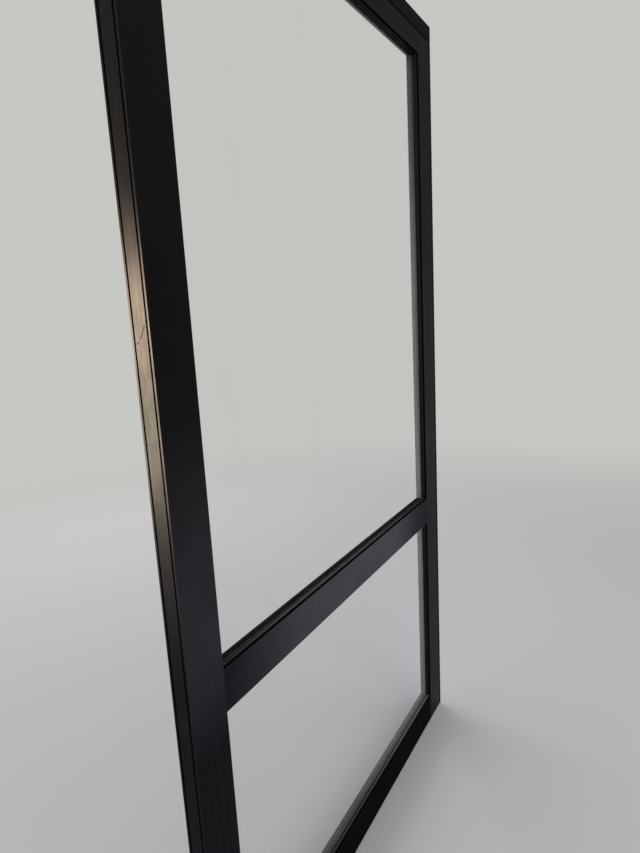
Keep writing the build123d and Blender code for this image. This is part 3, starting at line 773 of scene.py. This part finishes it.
# %% Mesh helpers
def mesh_piece(name, points, faces, material):
    """A new object from an array of points and a list of faces."""
    mesh = bpy.data.meshes.new(name)
    mesh.from_pydata(points.tolist(), [], faces)
    mesh.validate()
    mesh.update()
    piece = bpy.data.objects.new(name, mesh)
    bpy.context.scene.collection.objects.link(piece)
    piece.data.materials.append(material)
    return piece


def joined(sections):
    """The points of all parts in a row, and their faces with the corners' numbers moved up."""
    points, faces, before = [], [], 0
    for section, section_faces in sections:
        points.append(section)
        faces += [[corner + before for corner in face] for face in section_faces]
        before += len(section)
    return np.concatenate(points), faces


def ring_quads(rings, around):
    """Quads from each ring to the next one out, for rings of equal count stored in a row."""
    here = np.arange(around)
    there = (here + 1) % around
    ring = (np.arange(rings - 1) * around)[:, None]
    quads = np.stack([ring + here, ring + around + here, ring + around + there, ring + there], -1)
    return quads.reshape(-1, 4).tolist()


print("mesh helpers are ready")

# %% [markdown]
# ## Weather pile
# The brush along the hanging edge, the head and the foot is a tape with upright tufts of
# polypropylene, woven in two rows. In CAD it is a plain strip. Here every tuft is a small
# tapered stalk that leans and ends a little differently from its neighbour, so the edge looks
# frayed as a brush does. All stalks come from one array: the first index counts tufts, the
# second goes up the stalk and the third goes round it.

# %% Material: pile
def pile_fibre(name):
    """Black pile: fibres that run along the tuft, paler and greyer where dust has caught."""
    material, tree, surface, at, facing = new_material(name, (0.02, 0.02, 0.02))
    fibres = noise(tree, at, 2600.0, 3.0, 0.7)
    faded = soft_step(tree, noise(tree, at, 55.0, 4.0, 0.6), 0.4, 0.75)
    colour = blend(tree, fibres, (0.010, 0.010, 0.010, 1.0), (0.032, 0.031, 0.030, 1.0))
    feed(tree, surface, {
        "Base Color": cover(tree, colour, faded, 0.18, DUST_COLOUR),
        "Roughness": soft_step(tree, fibres, 0.2, 0.8, 0.70, 0.90),
        "Normal": bumped(tree, fibres, 0.5, 0.0003),
        "Sheen Weight": 0.15, "Sheen Roughness": 0.5, "Specular IOR Level": 0.2})
    return material


pile_material = pile_fibre("woven_pile")

# %% Shape: tufts in two rows
TUFT_PITCH, STAGGER = 0.0018, 0.25
HAIR_HALF_WIDTH, ROW_INSET = 0.0017, 0.00092
TUFT_ALONG, TUFT_ACROSS = 0.00085, 0.00070
SHORTEST = 0.86
LEAN_ALONG, LEAN_ACROSS, LEAN_LIMIT = 0.22e-3, 0.12e-3, 0.22e-3
TWIST = 0.35
ROUND = 4
RISE = np.array([0.0, 0.55, 1.0])
GIRTH = np.array([1.0, 0.92, 0.45])


def tufts(length, reach, seed):
    """Tapered stalks in two staggered rows. A corner of a stalk is at the tuft's place on the
    tape, plus the share of the rise times its own length and lean, plus the girth at that
    share times the unit corner. Local axes: x along the tape, y across it, z out of it."""
    random = np.random.default_rng(seed)
    count = int(length / TUFT_PITCH)
    along = np.tile((np.arange(count) + 0.5) * (length / count), 2)
    row = np.repeat([-1.0, 1.0], count)
    along = along + row * STAGGER * TUFT_PITCH
    total = 2 * count
    tall = reach * random.uniform(SHORTEST, 1.0, total)
    lean_along = random.normal(0.0, LEAN_ALONG, total)
    lean_across = np.clip(random.normal(0.0, LEAN_ACROSS, total), -LEAN_LIMIT, LEAN_LIMIT)
    twist = random.uniform(-TWIST, TWIST, total)
    angle = twist[:, None] + np.pi / 4 + np.arange(ROUND) * (2 * np.pi / ROUND)
    girth = GIRTH[None, :, None]
    rise = RISE[None, :, None]
    x = along[:, None, None] + rise * lean_along[:, None, None]
    x = x + girth * TUFT_ALONG * np.cos(angle)[:, None, :]
    middle = row * (HAIR_HALF_WIDTH - ROW_INSET)
    y = middle[:, None, None] + rise * lean_across[:, None, None]
    y = y + girth * TUFT_ACROSS * np.sin(angle)[:, None, :]
    z = rise * tall[:, None, None] + np.zeros((total, len(RISE), ROUND))
    return np.stack([np.clip(x, 0.0, length), y, z], axis=-1).reshape(-1, 3), stalk_faces(total)


def stalk_faces(total):
    """Side quads from one ring to the next, and a quad that closes each end."""
    rings = len(RISE)
    first = np.arange(total)[:, None, None] * rings * ROUND
    ring = np.arange(rings - 1)[None, :, None] * ROUND
    here = np.arange(ROUND)[None, None, :]
    there = (here + 1) % ROUND
    sides = np.stack([first + ring + here, first + ring + there,
                      first + ring + ROUND + there, first + ring + ROUND + here], axis=-1)
    base = first[:, 0, :] + np.arange(ROUND)[::-1]
    tip = first[:, 0, :] + (rings - 1) * ROUND + np.arange(ROUND)
    return np.concatenate([sides.reshape(-1, 4), base, tip]).tolist()


# %% Shape: the tape, and a strip of pile
SLOT_LINE = 0.016
TAPE_HALF_WIDTH, TAPE_THICKNESS = 0.0030, 0.0009
SIDE_POINTS = 5


def tape(length):
    """The woven tape: a flat bar whose two long sides are rounded. Its profile is carried
    from one end to the other, and each end is closed."""
    turn = np.linspace(-np.pi / 2, np.pi / 2, SIDE_POINTS)
    half = TAPE_THICKNESS / 2
    side = TAPE_HALF_WIDTH - half
    y = np.concatenate([side + half * np.cos(turn), -side - half * np.cos(turn)])
    z = np.concatenate([half * np.sin(turn), -half * np.sin(turn)]) - half
    profile = np.stack([np.zeros_like(y), y, z], axis=-1)
    count = len(y)
    here = np.arange(count)
    there = (here + 1) % count
    sides = np.stack([here + count, there + count, there, here], axis=-1)
    faces = sides.tolist() + [here.tolist(), (here + count)[::-1].tolist()]
    return np.concatenate([profile, profile + np.array([length, 0.0, 0.0])]), faces


def weather_pile(name, node, body, reach, seed, turn, corner):
    """Two strips of pile in the slots of one edge. A point is put in place by turning it, with
    the rows of turn for its new x, y and z, and adding the corner where the tape begins."""
    low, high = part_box(node)
    length = max(high - low)
    strips = []
    for number, side in enumerate((-1.0, 1.0)):
        for local, faces in (tufts(length, reach, seed + number), tape(length)):
            local = local + np.array([0.0, side * SLOT_LINE, 0.0])
            strips.append((local @ turn.T + np.array(corner), faces))
    piece = mesh_piece(name, *joined(strips), pile_material)
    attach(piece, body)
    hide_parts(node)
    return piece


print("tufts: one every", TUFT_PITCH * 1000.0, "mm in each row")

# %% [markdown]
# ### Putting the three strips in place
# The strip is made lying along X with its hair pointing up. On the head edge it stays so. At
# the foot it is turned half round its own length, and on the hanging edge a quarter round the
# leaf's thickness, so that the hair points at the jamb: up becomes x, and x runs down from the
# top. A turn keeps the faces outward, where a mirror would turn them inside out. The hair
# starts a lip's depth inside the leaf's edge.

# %% Pieces: the three strips
LIP = 0.0016
UPWARDS = np.eye(3)
DOWNWARDS = np.diag([1.0, -1.0, -1.0])
TO_THE_JAMB = np.array([[0.0, 0.0, 1.0], [0.0, 1.0, 0.0], [-1.0, 0.0, 0.0]])

leaf_foot, leaf_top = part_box("free_stile")[0].z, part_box("free_stile")[1].z
leaf_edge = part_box("hanging_stile")[1].x
low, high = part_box("head_piles")
hair = high.z - leaf_top + LIP
head_pile = weather_pile("head_weather_pile", "head_piles", "leaf", hair, 11,
                         UPWARDS, (low.x, 0.0, high.z - hair))
low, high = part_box("foot_piles")
hair = leaf_foot + LIP - low.z
foot_pile = weather_pile("foot_weather_pile", "foot_piles", "leaf", hair, 23,
                         DOWNWARDS, (low.x, 0.0, low.z + hair))
low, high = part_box("hanging_edge_piles")
hair = high.x - leaf_edge + LIP
edge_pile = weather_pile("hanging_edge_weather_pile", "hanging_edge_piles", "leaf", hair, 37,
                         TO_THE_JAMB, (high.x - hair, 0.0, high.z))
for strip in (head_pile, foot_pile, edge_pile):
    print(strip.name, "faces:", len(strip.data.polygons))

# %% [markdown]
# ## Countersunk screws in the hanging edge
# Two countersunk screws hold the pivot blocks. Their heads show when the leaf stands open, and
# a plain disc would give them away, so each head gets the cross that a driver fits. A polar
# grid makes the whole screw as one closed skin: each ring has a radius and a depth, and the
# two rings of the cross have a radius that changes with the angle.

# %% Shape: a countersunk screw with a cross recess
SCREW_HEAD_RADIUS, SCREW_HEAD_DEPTH = 0.0058, 0.0028
SCREW_SHANK_RADIUS, SCREW_LENGTH = 0.0030, 0.0240
TIP_LENGTH, TIP_SHARE = 0.0010, 0.70
HEAD_ROUNDING = 0.00020
CROSS_REACH, CROSS_HALF_WIDTH, CROSS_CORE = 0.0031, 0.00062, 0.00135
CROSS_DEPTH, CROSS_FLOOR_SHARE, CROSS_POINT = 0.0019, 0.50, 0.0006
MOUTH_DEPTH, MOUTH_WIDTH = 0.00025, 0.00018
AROUND = 96


def countersunk_screw():
    """Rings from the middle of the recess, out over the head and down the shank. The cross's
    radius is its half width over the sine of the angle from the nearest wing, kept between
    the core and the wings' reach. Local axes: x down the shank from the head's face."""
    angle = np.arange(AROUND) * (2 * np.pi / AROUND)
    from_wing = np.abs((angle + np.pi / 4) % (np.pi / 2) - np.pi / 4)
    wing = CROSS_HALF_WIDTH / np.maximum(np.sin(from_wing), 1e-6)
    cross = np.clip(wing, CROSS_CORE, CROSS_REACH)
    plain = np.ones(AROUND)
    rings = [
        (cross * CROSS_FLOOR_SHARE, CROSS_DEPTH),
        (cross, MOUTH_DEPTH),
        (cross + MOUTH_WIDTH, 0.0),
        (plain * (SCREW_HEAD_RADIUS - HEAD_ROUNDING), 0.0),
        (plain * SCREW_HEAD_RADIUS, HEAD_ROUNDING),
        (plain * SCREW_SHANK_RADIUS, SCREW_HEAD_DEPTH),
        (plain * SCREW_SHANK_RADIUS, SCREW_LENGTH - TIP_LENGTH),
        (plain * SCREW_SHANK_RADIUS * TIP_SHARE, SCREW_LENGTH),
    ]
    radius = np.stack([ring for ring, depth in rings])
    depth = np.array([depth for ring, depth in rings])[:, None] + np.zeros(AROUND)
    skin = np.stack([depth, radius * np.cos(angle), radius * np.sin(angle)], axis=-1)
    poles = np.array([[CROSS_DEPTH + CROSS_POINT, 0.0, 0.0], [SCREW_LENGTH, 0.0, 0.0]])
    here = np.arange(AROUND)
    there = (here + 1) % AROUND
    first_pole = len(rings) * AROUND
    last = first_pole - AROUND
    start_fan = np.stack([np.full(AROUND, first_pole), here, there], -1).tolist()
    end_fan = np.stack([np.full(AROUND, first_pole + 1), last + there, last + here], -1).tolist()
    return (np.concatenate([skin.reshape(-1, 3), poles]),
            ring_quads(len(rings), AROUND) + start_fan + end_fan)


# %% Pieces: the pair of screws
HALF_TURN = np.array([-1.0, -1.0, 1.0])
low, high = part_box("pivot_block_screws")
screw_heights = (low.z + SCREW_HEAD_RADIUS, high.z - SCREW_HEAD_RADIUS)
screw_points, screw_faces = countersunk_screw()
pair = [(screw_points * HALF_TURN + np.array([high.x, 0.0, z]), screw_faces) for z in screw_heights]
screws = mesh_piece("pivot_block_screw_pair", *joined(pair), zinc)
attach(screws, "leaf")
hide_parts("pivot_block_screws")
print("screws at z =", [round(z, 4) for z in screw_heights])

# %% [markdown]
# ## The floor and the backdrop
# The door stands on a plain pale floor in a pale room. The floor is one round sheet. Near the
# door it is a matte surface that takes the shadow. Far off it fades to the colour of the
# backdrop, so that no horizon cuts through the panes. In its mirror image the floor is a
# little violet, which gives the lower half of the black coat its cast. A mirrored ray is a
# glossy ray that has not come through glass.

# %% Stage: the floor
BACKDROP = (0.57, 0.57, 0.545, 1.0)
FLOOR_COLOUR = (0.60, 0.592, 0.592, 1.0)
MIRRORED_FLOOR = (0.61, 0.54, 0.70, 1.0)
MIRRORED_FAR = (0.575, 0.550, 0.590, 1.0)
FADE_FROM, FADE_TO = 2.2, 6.0
FLOOR_CORNERS = 64

radii = np.array([2.0, 6.0, 14.0])
angle = np.arange(FLOOR_CORNERS) * (2 * np.pi / FLOOR_CORNERS)
rim = radii[:, None, None] * np.stack([np.cos(angle), np.sin(angle), 0 * angle], -1)
here, there = np.arange(FLOOR_CORNERS), (np.arange(FLOOR_CORNERS) + 1) % FLOOR_CORNERS
middle = np.full(FLOOR_CORNERS, len(radii) * FLOOR_CORNERS)
floor_points = np.concatenate([rim.reshape(-1, 3), [[0.0, 0.0, 0.0]]])
floor_faces = np.stack([middle, here, there], -1).tolist() + ring_quads(len(radii), FLOOR_CORNERS)

floor_material, tree, surface, at, facing = new_material("studio_floor", FLOOR_COLOUR[:3])
far = soft_step(tree, vectors(tree, "LENGTH", at), FADE_FROM, FADE_TO)
rays = place(tree, "LightPath").outputs
mirrored = sums(tree, "SUBTRACT", rays["Is Glossy Ray"], rays["Is Transmission Ray"], clamp=True)
feed(tree, surface, {"Base Color": blend(tree, mirrored, FLOOR_COLOUR, MIRRORED_FLOOR),
                     "Roughness": 0.9, "Specular IOR Level": 0.1})
glow = place(tree, "Emission", {
    "Color": blend(tree, mirrored, BACKDROP, MIRRORED_FAR), "Strength": 1.0})
faded = place(tree, "MixShader", {0: far, 1: surface.outputs[0], 2: glow.outputs[0]})
feed(tree, tree.nodes["Material Output"], {"Surface": faded.outputs[0]})
floor = mesh_piece("studio_floor", floor_points, floor_faces, floor_material)
print("floor radius", radii[-1], "m")

# %% Stage: the backdrop
ROOM_LIGHT = (0.55, 0.55, 0.56, 1.0)
world = bpy.data.worlds.new("studio")
bpy.context.scene.world = world
world.use_nodes = True
tree = world.node_tree
rays = place(tree, "LightPath").outputs
seen = sums(tree, "MAXIMUM", rays["Is Camera Ray"], rays["Is Glossy Ray"])
seen = sums(tree, "MAXIMUM", seen, rays["Is Transmission Ray"])
feed(tree, tree.nodes["Background"], {"Color": blend(tree, seen, ROOM_LIGHT, BACKDROP)})
print("backdrop", BACKDROP[:3])

# %% [markdown]
# ## Lights
# A black door is drawn by what it reflects, not by the light that falls on it. So one large
# soft lamp stands in front for shape, and a second one behind. Clear panes would mirror a lamp
# as a hard white square, so light linking leaves the panes out of both lamps' light. Two warm
# cards, one above the other, stand where the bare free edge mirrors them to the camera as a
# long streak of daylight. They are linked the other way round, to the free stile alone.

# %% Helpers: lamps and what they light
def soft_lamp(name, place_at, look_at, size, radiance, colour):
    """A rectangular lamp of a given brightness: power is radiance times area times pi."""
    width, height = size
    data = bpy.data.lights.new(name, "AREA")
    data.shape = "RECTANGLE"
    data.size, data.size_y = width, height
    data.energy = radiance * width * height * math.pi
    data.color = colour
    lamp = bpy.data.objects.new(name, data)
    bpy.context.scene.collection.objects.link(lamp)
    lamp.location = place_at
    aim = Vector(look_at) - Vector(place_at)
    lamp.rotation_euler = aim.to_track_quat("-Z", "Y").to_euler()
    lamp.visible_camera = False
    lamp.visible_transmission = False
    return lamp


def link_lamp(lamp, pieces, state):
    """Lets a lamp light a few pieces alone, or all pieces but those, by INCLUDE or EXCLUDE."""
    chosen = bpy.data.collections.new(lamp.name + "_pieces")
    for piece in pieces:
        chosen.objects.link(piece)
    lamp.light_linking.receiver_collection = chosen
    for entry in chosen.collection_objects:
        entry.light_linking.link_state = state


# %% Lights
LEAF_MIDDLE = (0.0, 0.0, 1.2)
ROOM_LAMP = (4.0, 3.0)
CARD_X, CARD_Y = -2.74, 2.19
EDGE_X, EDGE_Y = -0.69, 0.0
CARDS = {
    "edge_card_high": (1.61, (0.85, 0.71), 41.0, (1.0, 0.75, 0.55)),
    "edge_card_low": (0.83, (0.85, 0.80), 20.0, (1.0, 0.86, 0.62)),
}

front_lamp = soft_lamp("front_lamp", (-2.6, -3.8, 3.6), LEAF_MIDDLE, ROOM_LAMP, 2.6, (1.0, 0.99, 0.97))
back_lamp = soft_lamp("back_lamp", (2.2, 4.0, 3.4), LEAF_MIDDLE, ROOM_LAMP, 2.4, (0.97, 0.98, 1.0))
for lamp in (front_lamp, back_lamp):
    link_lamp(lamp, [nodes["upper_glass"], nodes["lower_glass"]], "EXCLUDE")
for name, (height, size, radiance, colour) in CARDS.items():
    card = soft_lamp(name, (CARD_X, CARD_Y, height), (EDGE_X, EDGE_Y, height), size, radiance, colour)
    card.visible_diffuse = False
    link_lamp(card, [nodes["free_stile"]], "INCLUDE")
